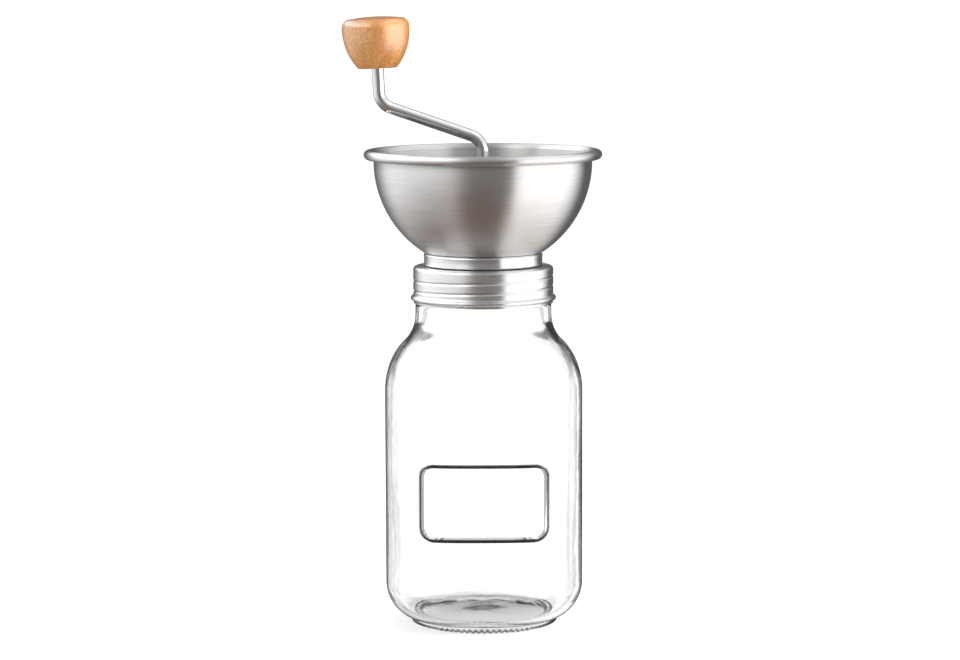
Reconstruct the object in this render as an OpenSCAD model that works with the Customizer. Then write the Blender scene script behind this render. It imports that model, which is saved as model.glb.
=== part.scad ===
// Hand crank coffee grinder: a steel grinder head screwed on a square glass preserve jar.
// Millimetres, +Z up. The origin is on the jar's axis, on the table. The crank lies towards -X.

/* [Jar] */
// Height of the glass, from the table to the rim
jar_height = 180.6; // [165:0.2:200]
// Width of the body across its flat faces
jar_width = 100.6; // [92:0.2:110]
// Squareness of the body: 2 is round, more is squarer
body_square = 3.1; // [2.4:0.1:3.6]
// Squareness of the body's underside
heel_square = 2.7; // [2.2:0.1:3.2]
// Radius of the rounded heel
heel_r = 20; // [14:0.5:24]
// Radius of the shoulder where it leaves the sides
shoulder_r = 34; // [26:0.5:40]
// Radius of the hollow curve where the shoulder meets the neck
neck_curve_r = 20; // [12:0.5:26]
// Outside diameter of the neck below the thread
neck_d = 69.2; // [68.6:0.1:69.6]
// Height of the plain neck and thread together
finish_h = 22; // [20:0.5:26]
// Height of the part of the neck that takes the thread
thread_zone_h = 16; // [14:0.5:18]
// Depth of the thread, from the neck to the glass between its turns
thread_depth = 0.9; // [0.6:0.1:1.2]
// Thickness of the glass at the mouth
finish_wall = 3.6; // [3.2:0.1:4]
// Thickness of the glass sides
glass_wall = 3; // [2.4:0.1:3.6]
// Thickness of the glass floor
glass_floor = 6; // [4:0.5:7]
// How far the ring that the jar stands on lies inside the sides
foot_inset = 12.8; // [12:0.2:15]
// Width of the face of that ring
foot_w = 2.8; // [2:0.1:4]
// Height of the body's underside above the table
foot_h = 2.5; // [2:0.1:4]
// Rise of the pushed-up centre
punt_rise = 3; // [1:0.2:4]

/* [Label frame] */
// Width of the raised frame
label_w = 62.8; // [50:0.2:66]
// Height of the raised frame
label_h = 37.6; // [30:0.2:50]
// Height of its centre above the table
label_z = 67.9; // [60:0.5:80]
// Radius of its corners
label_r = 6; // [3:0.5:10]
// Width of its line
label_line = 1.5; // [1:0.1:2.5]
// How far the line stands out of the glass
label_raise = 0.7; // [0.4:0.1:1.2]

/* [Lid] */
// Clearance between the lid's skirt and the jar's neck
lid_gap = 0.6; // [0.5:0.05:1]
// Height of the lid
lid_h = 18.8; // [17.5:0.1:19.5]
// Thickness of the lid's sheet
lid_sheet = 0.5; // [0.4:0.05:0.6]
// Radius of the lid's top edge
lid_edge_r = 1.2; // [0.8:0.1:2]
// How far the bottom edge flares out
lid_flare = 1.6; // [1:0.1:2.2]
// Thickness of the gasket on the jar's rim
gasket_t = 1.8; // [1.5:0.1:2.4]

/* [Collar] */
// Height from the lid to the bowl
collar_h = 7; // [6:0.5:9]
// Width of the collar ring's seat, from its bore to its outside
collar_lip = 2.7; // [2.4:0.1:4]
// Thickness of the collar's sheet
collar_sheet = 0.8; // [0.6:0.1:1]
// Thickness of the seal at the collar's foot
seal_t = 0.5; // [0.4:0.1:0.8]

/* [Bowl] */
// Outside radius of the round bowl
bowl_r = 55.5; // [52:0.5:60]
// Height of the rim's centre line above the ball's centre
rim_lift = 3.1; // [2:0.1:6]
// Thickness of the bowl's sheet
bowl_sheet = 0.8; // [0.6:0.1:1]
// How far the rolled rim stands out past the ball
rim_overhang = 5; // [4:0.1:8]
// Thickness of the roll
rim_roll = 4.8; // [4:0.1:5]

/* [Mill] */
// Clearance between pieces that are fitted together
fit = 0.1; // [0.05:0.01:0.15]
// Clearance of the mill's flange in the jar's mouth
mill_gap = 1; // [0.6:0.1:2]
// Width of that flange outside the bore through the lid
flange_lip = 2.4; // [2:0.1:3]
// Thickness of the housing's neck, which takes the clamp screws
neck_wall = 5.5; // [4.6:0.1:6]
// Clearance of the housing's body in the jar's mouth
body_gap = 2.5; // [2:0.1:3]
// Thickness of the housing round the ring burr
seat_wall = 4.9; // [4.4:0.1:5.4]
// Least thickness of the ring burr
burr_wall = 2.95; // [2.6:0.05:3.4]
// Height of the ring burr
burr_h = 16; // [15:0.5:16.5]
// Height of the fine grinding band
grind_h = 5.8; // [5:0.2:7]
// Half angle of the fine grinding band
grind_angle = 20; // [15:1:24]
// Radial gap between the burrs at the finest setting
grind_gap = 0.45; // [0.4:0.05:0.6]
// Number of fine teeth
fine_teeth = 36; // [30:6:42]
// Depth of the fine teeth
fine_depth = 0.8; // [0.5:0.1:1]
// Number of coarse blades on the cone
blades = 6; // [5:1:6]
// Depth of the coarse blades
blade_depth = 2.6; // [1.5:0.1:3]
// Twist of the teeth over the height of the burr, in degrees
burr_twist = 40; // [20:1:60]
// Travel of the cone burr from finest to coarsest
grind_travel = 1.2; // [0.8:0.1:1.4]
// Thickness of the hub round the shaft's bushes
hub_wall = 2.9; // [2.4:0.1:3.5]
// Height of the hub above the bowl's floor
hub_rise = 8.2; // [7:0.1:9]
// Depth of the hub below the bowl's floor
hub_drop = 2.2; // [1.6:0.1:2.4]
// Width of each spider arm
arm_w = 4.5; // [3.5:0.1:5.5]
// Diameter of the adjusting nut
nut_d = 22; // [18:0.5:26]

/* [Shaft and crank] */
// Diameter of the shaft in its bushes
shaft_d = 7; // [6.6:0.1:7.4]
// Depth of the step from the shaft down to its stem
stem_step = 0.5; // [0.3:0.05:0.6]
// Depth of each of the stem's two flats, and of the thread below them
flat_depth = 0.5; // [0.3:0.05:0.7]
// Length of the hexagon that the crank's socket fits
hex_h = 11.5; // [9:0.5:14]
// Diameter of the crank rod
rod_d = 6; // [5:0.1:7]
// Radius of the rod's bends at its centre line
bend_r = 9; // [7:0.5:10]
// Height of the rod's lower bend above the rim's centre line, where its own centre lines cross
elbow_rise = 7.5; // [7:0.1:16]
// Height of the rod's upper bend above the lower one
crank_rise = 18.1; // [14:0.1:28]
// Reach of the crank, from the shaft to the upper bend
crank_reach = 52.2; // [48:0.2:64]
// Lean of the knob's post away from the shaft
post_lean = 2.6; // [0:0.1:5]

/* [Knob] */
// Largest diameter of the knob
knob_d = 34.2; // [32:0.2:36]
// Height of the knob
knob_h = 26; // [25:0.2:30]
// Diameter of its flat underside
knob_foot_d = 19.6; // [18:0.2:22]
// Height of the band between its full side and its upper edge
knob_band_h = 0.9; // [0.4:0.1:2]
// Radius of its upper edge
knob_edge_r = 4.4; // [3:0.1:5]
// Height of the knob's underside above the upper bend
knob_lift = 18.2; // [16:0.2:24]
// Thickness of the bush between rod and knob
knob_bush_wall = 1.9; // [1.4:0.1:2.4]
// Thickness of the wood above the bush's bore
knob_roof = 8.5; // [7:0.5:10]

/* [Hidden] */
$fn = 64;
// A hair by which a cutting shape runs past the face it cuts
eps = 0.05;
// Play between faces that turn or slide on each other
play = 0.05;

// Jar
jar_steps = 48;
arc_steps = 7;
foot_land = 0.6;
heel_z = foot_h + heel_r;
neck_z = jar_height - finish_h;
mouth_d = neck_d - 2 * finish_wall;
thread_root_d = neck_d - 2 * thread_depth;
foot_d = jar_width - 2 * foot_inset;
// The body is drawn a hair wider than the round neck where they meet
neck_ledge = 0.1;
neck_a = neck_d / 2 + neck_ledge;
shoulder_drop = jar_width / 2 - neck_a;
curve_sum = shoulder_r + neck_curve_r;
shoulder_z = neck_z - sqrt(2 * shoulder_drop * curve_sum - shoulder_drop * shoulder_drop);
shoulder_angle = asin((neck_z - shoulder_z) / curve_sum);
finish_sink = 3;
lip_r = 0.9;
// Radius of the front face's gentle crown, and how deep the label frame's line is rooted in the glass
crown_r = 175;
label_root = 1.6;
punt_r = foot_d / 2 - foot_w - 3.7;
punt_ball_r = (punt_r * punt_r + punt_rise * punt_rise) / (2 * punt_rise);

// Lid and collar
lid_d = neck_d + 2 * (lid_gap + lid_sheet);
lid_z = jar_height + play + gasket_t + play + lid_sheet;
lid_foot_z = lid_z - lid_h;
flare_h = 5.2;
gasket_id = mouth_d + 0.8;
gasket_od = neck_d - 1.2;
flange_d = mouth_d - 2 * mill_gap;
// The bore through lid, collar and seal that the housing's neck passes
neck_bore_d = flange_d - 2 * flange_lip;
collar_d = neck_bore_d + 2 * collar_lip;
collar_z = lid_z + seal_t;
bowl_z = lid_z + collar_h;

// Mill's neck and the ring clamped over it
neck_fit_d = neck_bore_d - 2 * fit;
throat_d = neck_fit_d - 2 * neck_wall;
clamp_circle_d = neck_fit_d - neck_wall;
clamp_head_d = 5.4;
clamp_head_h = 1.8;
clamp_shank_d = 2.9;
clamp_depth = 6.6;
clamp_seat_h = 1.2;
head_play = 0.2;
spider_ring_h = 2.6;
spider_ring_d = clamp_circle_d + clamp_head_d + 2;
spider_arm_h = 5;

// Bowl: a ball with a flat floor that just takes the clamped ring
corner_r = 4;
// The rim's roll ends at this angle below its middle
rim_curl = 100;
bowl_floor_r = spider_ring_d / 2 + 0.35;
bowl_middle_r = bowl_r - bowl_sheet / 2;
bowl_depth = sqrt(pow(bowl_middle_r - corner_r, 2) - pow(bowl_floor_r, 2)) + corner_r + bowl_sheet / 2;
ball_z = bowl_z + bowl_depth;
rim_z = ball_z + rim_lift;
rim_d = 2 * (bowl_r + rim_overhang);
bowl_floor_top = bowl_z + bowl_sheet;
floor_hole_d = throat_d;

// Mill
lid_bottom_z = lid_z - lid_sheet;
flange_t = 3;
housing_d = mouth_d - 2 * body_gap;
burr_d = housing_d - 2 * (seat_wall + fit);
// The grinding edge, where the burrs are widest
grind_d = burr_d - 2 * (burr_wall + fine_depth + grind_gap);
burr_top_z = lid_z - 1;
burr_z = burr_top_z - burr_h;
key_count = 3;
key_w = 4;
key_depth = 1.3;
ring_t = 2.4;
ring_bore_d = grind_d + 2 * (grind_gap + fine_depth) + 1;
ring_circle_d = (burr_d + housing_d) / 2;
ring_head_d = 3.6;
ring_head_h = 1.2;
ring_shank_d = 2;
ring_depth = 5.6;
screw_end_gap = 0.6;
key_recess_h = 0.7;

// Burr teeth
points_per_tooth = 4;
burr_points = fine_teeth * points_per_tooth;
grind_slope = tan(grind_angle);
outer_throat_r = grind_d / 2 + grind_gap - grind_h * grind_slope;
outer_mouth_r = outer_throat_r + 1.2;
cone_lift = 0.2;
cone_z = burr_z + cone_lift;

// Shaft stack, from the hub upwards and downwards
hub_z = bowl_floor_top - hub_drop;
hub_top = bowl_floor_top + hub_rise;
hub_bevel = 1;
stem_d = shaft_d - 2 * stem_step;
stem_flats = stem_d - 2 * flat_depth;
thread_d = stem_flats;
bush_wall = 1.05;
bush_flange_lip = 1.4;
bush_flange_t = 0.6;
bush_gap = 0.8;
bush_length = (hub_rise + hub_drop - bush_gap) / 2;
bush_bore_d = shaft_d + 2 * play;
bush_od = bush_bore_d + 2 * bush_wall;
bush_flange_d = bush_od + 2 * bush_flange_lip;
hub_d = bush_od + 2 * hub_wall;
washer_t = 0.6;
thrust_z = hub_top + bush_flange_t + play;
clip_t = 0.8;
clip_z = thrust_z + washer_t + play;
clip_groove_d = shaft_d - 1.2;
shaft_clip_d = shaft_d + 4.4;
spring_washer_z = hub_z - bush_flange_t - play - washer_t;
hex_z = clip_z + clip_t + 1.4;
// The hexagon's corners lie a hair inside the round shaft
hex_d = shaft_d - 0.08;
shaft_top = hex_z + hex_h;

// Spring, and the cone and carrier that it pushes down
spring_wire = 0.8;
spring_turns = 4.5;
spring_steps = 14;
spring_sides = 6;
spring_mean_r = shaft_d / 2 + 0.65 + spring_wire / 2;
spring_room = 7.35;
cone_gap = 2.6;
cone_h = hub_z - cone_gap - cone_z;
cone_bore_d = 2 * spring_mean_r + spring_wire + 0.5;
cone_rim = 3.3;
cone_top_r = cone_bore_d / 2 + cone_rim;
carrier_drop = 0.6;
carrier_z = burr_z - carrier_drop;
carrier_wall = 4;
carrier_hex_d = stem_d + 2 * carrier_wall;
carrier_flange_d = carrier_hex_d + 9.6;
carrier_flange_h = 3.6;
carrier_top_z = spring_washer_z - spring_room;
stem_z = carrier_z + 0.1;
nut_h = 3.8;
nut_boss_h = 0.8;
nut_z = carrier_z - play - nut_h;
nut_grips = 12;
nut_grip_r = 1.7;
// The thread ends half the travel below the nut, so it still holds the nut at the coarsest setting
thread_foot_z = nut_z - grind_travel / 2;

// Crank
elbow_z = rim_z + elbow_rise;
wrist_z = elbow_z + crank_rise;
socket_wall = 2.5;
socket_d = hex_d + 2 * (play + socket_wall);
socket_z = hex_z + 0.2;
socket_roof = 2;
socket_bevel = 1.5;
rod_foot_z = shaft_top + play + socket_roof;
socket_top = rod_foot_z + 4.5;
arm_angle = atan2(crank_reach, crank_rise);
arm_length = norm([crank_reach, crank_rise]);
elbow_cut = bend_r * tan(arm_angle / 2);
wrist_cut = bend_r * tan((arm_angle - post_lean) / 2);
knob_bore_h = knob_h - knob_roof;
post_in_knob = knob_bore_h - 2;
rod_lap = 0.2;
bend_thin = 0.1;
bush_flange_h = 1;
knob_bore_d = rod_d + 2 * (2 * play + knob_bush_wall);
knob_flange_d = knob_bore_d + 2.6;
post_groove_d = rod_d - 1.4;
knob_bush_top = knob_bore_h - 5.2;
knob_clip_z = knob_bush_top + 0.3;

// Knob: one large arc for the side, a small one for the edge, a shallow one for the top
knob_crown = 0.9;
knob_waist_h = knob_h - knob_crown - knob_edge_r - knob_band_h;
knob_side_r = (pow(knob_waist_h, 2) + pow((knob_d - knob_foot_d) / 2, 2)) / (knob_d - knob_foot_d);
knob_top_r = knob_d / 2 - knob_edge_r;
knob_crown_r = (pow(knob_top_r, 2) + pow(knob_crown, 2)) / (2 * knob_crown);

// Points of an arc in a profile, from angle a to angle b
function arc(cx, cz, r, a, b, steps = 6) =
    [for (i = [0:steps]) let (t = a + (b - a) * i / steps) [cx + r * cos(t), cz + r * sin(t)]];

// Unit normal of a path at point i, to the left of its direction
function path_normal(p, i) =
    let (d = p[min(i + 1, len(p) - 1)] - p[max(i - 1, 0)], n = norm(d)) [-d[1] / n, d[0] / n];

// Outline of bent sheet of thickness t, whose middle follows the path p
function sheet_outline(p, t) = concat(
    [for (i = [0:len(p) - 1]) p[i] + path_normal(p, i) * t / 2],
    [for (i = [len(p) - 1:-1:0]) p[i] - path_normal(p, i) * t / 2]
);

module revolve(points) { rotate_extrude() polygon(points); }

module ring(d, bore, z, h) {
    translate([0, 0, z]) difference() {
        cylinder(d = d, h = h);
        translate([0, 0, -eps]) cylinder(d = bore, h = h + 2 * eps);
    }
}

// Copies spaced evenly round the axis, at radius r
module around(count, r, start = 90) {
    for (i = [0:count - 1]) rotate([0, 0, start + 360 * i / count]) translate([r, 0, 0]) children();
}

// ---------- Jar ----------

// Half width and height of the glass, set in by t at the sides and by the floor below
function jar_profile(t, under) = concat(
    arc(jar_width / 2 - t - (heel_r - under), heel_z, heel_r - under, t > 0 ? -89.9 : -82, 0, arc_steps),
    arc(jar_width / 2 - shoulder_r, shoulder_z, shoulder_r - t, 0, shoulder_angle, arc_steps),
    arc(neck_a + neck_curve_r, neck_z, neck_curve_r + t, 180 + shoulder_angle - 6, 180, arc_steps - 1)
);

// Squareness of the section at half width a: round at the neck, square in the body
function squareness(a, z, t) = z < heel_z
    ? heel_square + (body_square - heel_square) * (z - foot_h) / heel_r
    : 2 + (body_square - 2) * (a - neck_a + t) / shoulder_drop;

// One level of the glass: a curve |x|^n + |y|^n = a^n
function jar_section(a, z, n) = [
    for (i = [0:jar_steps - 1])
        let (c = cos(360 * i / jar_steps), s = sin(360 * i / jar_steps))
        let (r = a / pow(pow(abs(c), n) + pow(abs(s), n), 1 / n)) [r * c, r * s, z]
];

function jar_levels(t, under) = [
    for (p = jar_profile(t, under)) jar_section(p[0], p[1], squareness(p[0], p[1], t))
];

// Quads between stacked closed rings of points, as triangles
function skin(rings, steps) = [
    for (k = [0:rings - 2], i = [0:steps - 1])
        let (j = (i + 1) % steps, a = k * steps, b = a + steps)
        each [[a + i, b + i, b + j], [a + i, b + j, a + j]]
];

// Glass body: the outside levels going up, the inside levels coming down, and the two floors
module jar_body() {
    outside = jar_levels(0, 0);
    inside = jar_levels(glass_wall, glass_floor);
    levels = concat(outside, [for (i = [len(inside) - 1:-1:0]) inside[i]]);
    last = (len(levels) - 1) * jar_steps;
    polyhedron(
        points = [for (l = levels) each l],
        faces = concat(
            skin(len(levels), jar_steps),
            [[for (i = [0:jar_steps - 1]) i]],
            [[for (i = [jar_steps - 1:-1:0]) last + i]]
        )
    );
}

// Round neck with its thread zone, a true ring so that the lid runs true on it
module jar_finish() {
    mouth_r = mouth_d / 2;
    root_r = thread_root_d / 2;
    thread_foot = jar_height - thread_zone_h;
    revolve(concat(
        [[mouth_r, neck_z - finish_sink], [neck_d / 2, neck_z - finish_sink]],
        [[neck_d / 2, thread_foot - 0.6], [root_r, thread_foot]],
        arc(root_r - lip_r, jar_height - lip_r, lip_r, 0, 90),
        arc(mouth_r + lip_r, jar_height - lip_r, lip_r, 90, 180)
    ));
}

module jar_foot() {
    outer_r = foot_d / 2;
    top_z = foot_h + 2.6;
    revolve([
        [outer_r - foot_w - foot_land, 0], [outer_r - foot_land, 0], [outer_r, foot_land],
        [outer_r + 0.6, top_z], [outer_r - foot_w - 1, top_z], [outer_r - foot_w - 1, foot_land]
    ]);
}

module label_frame_outline(w, h, r) {
    translate([-w / 2 + r, -h / 2]) square([w - 2 * r, h]);
    translate([-w / 2, -h / 2 + r]) square([w, h - 2 * r]);
    for (x = [-1, 1], y = [-1, 1]) translate([x * (w / 2 - r), y * (h / 2 - r)]) circle(r = r);
}

// Raised line round the label's place, following the front face's gentle crown
module label_frame() {
    crown_y = crown_r - jar_width / 2 - label_raise;
    intersection() {
        translate([0, 0, label_z]) rotate([90, 0, 0]) linear_extrude(height = jar_width) difference() {
            label_frame_outline(label_w + label_line, label_h + label_line, label_r + label_line / 2);
            label_frame_outline(label_w - label_line, label_h - label_line, label_r - label_line / 2);
        }
        translate([0, crown_y, 0])
            ring(2 * crown_r, 2 * (crown_r - label_raise - label_root), label_z - label_h, 2 * label_h,
                $fn = 256);
    }
}

// Shallow dome that pushes the underside up inside the foot
module punt() {
    intersection() {
        translate([0, 0, foot_h + punt_rise - punt_ball_r]) sphere(r = punt_ball_r, $fn = 200);
        cylinder(r = punt_r + 0.3, h = foot_h + punt_rise + 1);
    }
}

module jar() {
    color([0.86, 0.92, 0.92, 0.35]) difference() {
        union() {
            jar_body();
            jar_finish();
            jar_foot();
            label_frame();
        }
        punt();
    }
}

// ---------- Lid, collar and bowl ----------

module lid_gasket() {
    color([0.32, 0.16, 0.13]) ring(gasket_od, gasket_id, jar_height + play, gasket_t);
}

module screw_lid() {
    r = lid_d / 2 - lid_sheet / 2;
    top = lid_z - lid_sheet / 2;
    foot = lid_foot_z + lid_sheet / 2;
    path = concat(
        [[neck_bore_d / 2, top]],
        arc(r - lid_edge_r, top - lid_edge_r, lid_edge_r, 90, 0, 4),
        [[r, foot + flare_h], [r + 0.1, foot + flare_h - 1.4], [r + lid_flare - 0.5, foot + 2.2]],
        [[r + lid_flare, foot + 1.6], [r + lid_flare - 0.15, foot + 0.9], [r + lid_flare - 0.7, foot]]
    );
    color([0.78, 0.78, 0.79]) revolve(sheet_outline(path, lid_sheet));
}

module collar_seal() {
    color([0.12, 0.1, 0.1]) ring(collar_d - 0.6, neck_bore_d, lid_z, seal_t);
}

// Formed ring: a wall with a foot turned in below and a seat turned in above
module collar_ring() {
    r = collar_d / 2 - collar_sheet / 2;
    low = collar_z + collar_sheet / 2;
    high = bowl_z - collar_sheet / 2;
    path = concat(
        [[neck_bore_d / 2, low]],
        arc(r - 0.6, low + 0.4, 0.4, -90, 0, 3),
        [[r - 0.2, low + 1.2], [r - 0.2, high - 2.6]],
        arc(r - 1, high - 1, 1, 0, 90, 4),
        [[neck_bore_d / 2, high]]
    );
    color([0.74, 0.74, 0.75]) revolve(sheet_outline(path, collar_sheet));
}

// Spun bowl: flat floor, ball-shaped wall, rim rolled outwards
module hopper_bowl() {
    t = bowl_sheet;
    floor_z = bowl_z + t / 2;
    roll_r = rim_roll / 2 - t / 2;
    roll_x = rim_d / 2 - rim_roll / 2;
    meet = atan2(floor_z + corner_r - ball_z, bowl_floor_r);
    path = concat(
        [[floor_hole_d / 2, floor_z]],
        arc(bowl_floor_r, floor_z + corner_r, corner_r, -90, meet, 4),
        arc(0, ball_z, bowl_middle_r, meet + 4, -8, 10),
        arc(roll_x, rim_z, roll_r, 180, -rim_curl, 14)
    );
    color([0.8, 0.79, 0.78]) difference() {
        revolve(sheet_outline(path, t));
        around(3, clamp_circle_d / 2) translate([0, 0, bowl_z - 1])
            cylinder(d = clamp_shank_d + 2 * fit, h = t + 2);
    }
}

// ---------- Mill ----------

// Moulded body: a neck up through lid and collar, a flange under the lid, and the seat of the ring burr
module burr_housing() {
    seat_r = burr_d / 2 + fit;
    neck_r = neck_fit_d / 2;
    body_r = housing_d / 2;
    flange_r = flange_d / 2;
    flange_z = lid_bottom_z - flange_t;
    color([0.13, 0.13, 0.14]) difference() {
        union() {
            revolve([
                [seat_r, burr_z], [body_r - 0.4, burr_z], [body_r, burr_z + 1], [body_r, flange_z - 1],
                [flange_r - 0.5, flange_z], [flange_r, flange_z + 0.5], [flange_r, lid_bottom_z],
                [neck_r, lid_bottom_z], [neck_r, bowl_z], [throat_d / 2, bowl_z],
                [outer_mouth_r + 0.6, burr_top_z + play], [seat_r, burr_top_z + play]
            ]);
            burr_keys(seat_r + eps, key_depth - fit, key_w - 2 * fit, burr_h - 1);
        }
        around(3, clamp_circle_d / 2)
            translate([0, 0, bowl_z - clamp_depth]) cylinder(d = clamp_shank_d, h = clamp_depth + 1);
        around(3, ring_circle_d / 2, 30)
            translate([0, 0, burr_z - 1]) cylinder(d = ring_shank_d, h = ring_depth + 1);
    }
}

// Ribs inside a seat of radius r, or the slots that take them
module burr_keys(r, depth, w, h) {
    intersection() {
        around(key_count, r - depth / 2, 0) translate([-depth / 2, -w / 2, burr_z]) cube([depth + 1, w, h]);
        translate([0, 0, burr_z]) cylinder(r = r, h = h);
    }
}

// Ring over the bowl's floor with three arms and the hub that carries the shaft
module bearing_spider() {
    ring_r = floor_hole_d / 2;
    color([0.15, 0.15, 0.16]) difference() {
        union() {
            ring(spider_ring_d, floor_hole_d, bowl_floor_top, spider_ring_h);
            translate([0, 0, hub_z]) cylinder(d = hub_d, h = hub_drop + hub_rise - hub_bevel);
            translate([0, 0, hub_top - hub_bevel])
                cylinder(d1 = hub_d, d2 = hub_d - 2 * hub_bevel, h = hub_bevel);
            around(3, 0) spider_arm(ring_r);
        }
        translate([0, 0, hub_z - 1]) cylinder(d = bush_od + 2 * play, h = hub_drop + hub_rise + 2);
        around(3, clamp_circle_d / 2) translate([0, 0, bowl_floor_top - 1]) {
            cylinder(d = clamp_shank_d + 2 * fit, h = spider_ring_h + 2);
            translate([0, 0, 1 + clamp_seat_h]) cylinder(d = clamp_head_d + 2 * head_play, h = spider_ring_h);
        }
    }
}

// One arm, deep at the hub and shallow at the ring
module spider_arm(ring_r) {
    inner = hub_d / 2 - 0.8;
    translate([0, arm_w / 2, bowl_floor_top]) rotate([90, 0, 0]) linear_extrude(height = arm_w) polygon([
        [inner, -hub_drop + 0.6], [hub_d / 2 + 1, -hub_drop + 0.6], [ring_r, 0], [ring_r + 0.6, 0],
        [ring_r + 0.6, spider_ring_h], [ring_r - 2, spider_ring_h], [inner, spider_arm_h]
    ]);
}

// Flanged bush, flange downwards
module flanged_bush(length) {
    difference() {
        union() {
            cylinder(d = bush_flange_d, h = bush_flange_t);
            translate([0, 0, bush_flange_t]) cylinder(d = bush_od, h = length);
        }
        translate([0, 0, -eps]) cylinder(d = bush_bore_d, h = length + bush_flange_t + 2 * eps);
    }
}

module lower_bush() {
    color([0.72, 0.58, 0.32]) translate([0, 0, hub_z - bush_flange_t]) flanged_bush(bush_length);
}

module upper_bush() {
    color([0.72, 0.58, 0.32])
        translate([0, 0, hub_top + bush_flange_t]) mirror([0, 0, 1]) flanged_bush(bush_length);
}

// Screw with its shank downwards from z = 0 and its head above
module pan_screw(head_d, head_h, shank_d, length) {
    difference() {
        union() {
            cylinder(d = head_d, h = head_h);
            translate([0, 0, -length]) cylinder(d = shank_d, h = length + eps);
        }
        translate([0, 0, head_h - key_recess_h]) cylinder(d = head_d / 2, h = 2, $fn = 6);
    }
}

module clamp_screws() {
    seat = bowl_floor_top + clamp_seat_h;
    length = seat - bowl_z + clamp_depth - screw_end_gap;
    color([0.7, 0.7, 0.72]) around(3, clamp_circle_d / 2)
        translate([0, 0, seat]) pan_screw(clamp_head_d, clamp_head_h, clamp_shank_d - 2 * play, length);
}

module retaining_ring() {
    color([0.15, 0.15, 0.16]) difference() {
        ring(housing_d - 0.4, ring_bore_d, burr_z - ring_t, ring_t);
        around(3, ring_circle_d / 2, 30) translate([0, 0, burr_z - ring_t - 1]) {
            cylinder(d = ring_shank_d + 2 * fit, h = ring_t + 2);
            cylinder(d = ring_head_d + 2 * head_play, h = ring_head_h + 1);
        }
    }
}

module ring_screws() {
    seat = burr_z - ring_t + ring_head_h;
    length = ring_depth + ring_t - ring_head_h - screw_end_gap;
    color([0.7, 0.7, 0.72]) around(3, ring_circle_d / 2, 30) translate([0, 0, seat])
        mirror([0, 0, 1]) pan_screw(ring_head_d, ring_head_h, ring_shank_d - 2 * play, length);
}

// ---------- Burrs ----------

// Saw-tooth from 0 at a tooth's edge to 1 in front of the next one
function saw(i, per_tooth) = (i % per_tooth) / (per_tooth - 1);

// Turn of the teeth at height z above the burr's foot, right-handed so that the beans are drawn down
function tooth_turn(z) = burr_twist * z / burr_h;

// A ring of tooth points: the edges lie at radius r, the hollows lie deeper by fine and by coarse
function tooth_ring(r, z, fine, coarse) = [
    for (i = [0:burr_points - 1])
        let (hollow = fine * saw(i, points_per_tooth) + coarse * saw(i, burr_points / blades))
        let (a = 360 * i / burr_points + tooth_turn(z)) [(r - hollow) * cos(a), (r - hollow) * sin(a), z]
];

// Closed solid from rings of tooth points, bottom ring first
module toothed_solid(rings) {
    last = (len(rings) - 1) * burr_points;
    polyhedron(
        points = [for (r = rings) each r],
        faces = concat(
            [for (f = skin(len(rings), burr_points)) f],
            [[for (i = [0:burr_points - 1]) i]],
            [[for (i = [burr_points - 1:-1:0]) last + i]]
        )
    );
}

// Ring burr: fine teeth in the flared grinding band at the foot, and wide teeth in the feed above it
module outer_burr() {
    edge = grind_d / 2 + grind_gap;
    past = 1;
    rings = [
        tooth_ring(edge + past * grind_slope, -past, -fine_depth, 0),
        tooth_ring(edge - grind_h / 2 * grind_slope, grind_h / 2, -fine_depth, 0),
        tooth_ring(outer_throat_r, grind_h, -fine_depth, 0),
        tooth_ring(outer_throat_r + 0.4, grind_h + 3, -fine_depth / 2, -0.9),
        tooth_ring(outer_mouth_r, burr_h, -fine_depth / 2, -1.2),
        tooth_ring(outer_mouth_r + 0.2, burr_h + past, -fine_depth / 2, -1.2)
    ];
    color([0.93, 0.92, 0.88]) difference() {
        translate([0, 0, burr_z]) cylinder(d = burr_d, h = burr_h);
        translate([0, 0, burr_z]) toothed_solid(rings);
        burr_keys(burr_d / 2 + 1, key_depth + 1, key_w, burr_h + 1);
    }
}

// Cone burr: fine teeth round the foot that run up into a few deep spiral blades
module inner_burr() {
    foot_r = grind_d / 2 - cone_lift * grind_slope;
    neck_r = grind_d / 2 - grind_h * grind_slope;
    neck_h = grind_h - cone_lift;
    rise = cone_h - neck_h;
    slope = (neck_r - cone_top_r) / rise;
    rings = concat(
        [
            tooth_ring(foot_r, 0, fine_depth, 0),
            tooth_ring((foot_r + neck_r) / 2, neck_h / 2, fine_depth, 0),
            tooth_ring(neck_r, neck_h, fine_depth, blade_depth * 0.3)
        ],
        [for (k = [1:5])
            let (h = rise * k / 6, fine = fine_depth * max(0, 1 - k / 3))
            tooth_ring(neck_r - slope * h, neck_h + h, fine, blade_depth * sin(30 + 24 * k))],
        [tooth_ring(cone_top_r, cone_h, 0, 0.6)]
    );
    color([0.94, 0.93, 0.9]) translate([0, 0, cone_z]) difference() {
        toothed_solid(rings);
        translate([0, 0, -1]) cylinder(d = cone_bore_d, h = cone_h + 2);
        translate([0, 0, -1]) cylinder(d = carrier_hex_d, h = carrier_top_z - cone_z + 1, $fn = 6);
        translate([0, 0, -1])
            cylinder(d = carrier_flange_d + 2 * fit, h = carrier_z + carrier_flange_h - cone_z + 1);
    }
}

// Moulded key: a flange in the burr's foot and a hexagon up its middle, with a hole for the stem's flats
module burr_carrier() {
    color([0.16, 0.16, 0.17]) difference() {
        union() {
            translate([0, 0, carrier_z]) cylinder(d = carrier_flange_d, h = carrier_flange_h - fit);
            translate([0, 0, carrier_z])
                cylinder(d = carrier_hex_d - 2 * fit, h = carrier_top_z - carrier_z, $fn = 6);
        }
        translate([0, 0, carrier_z - 1]) flatted_rod(stem_d + 2 * play, stem_flats + 2 * play, carrier_top_z);
    }
}

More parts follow.
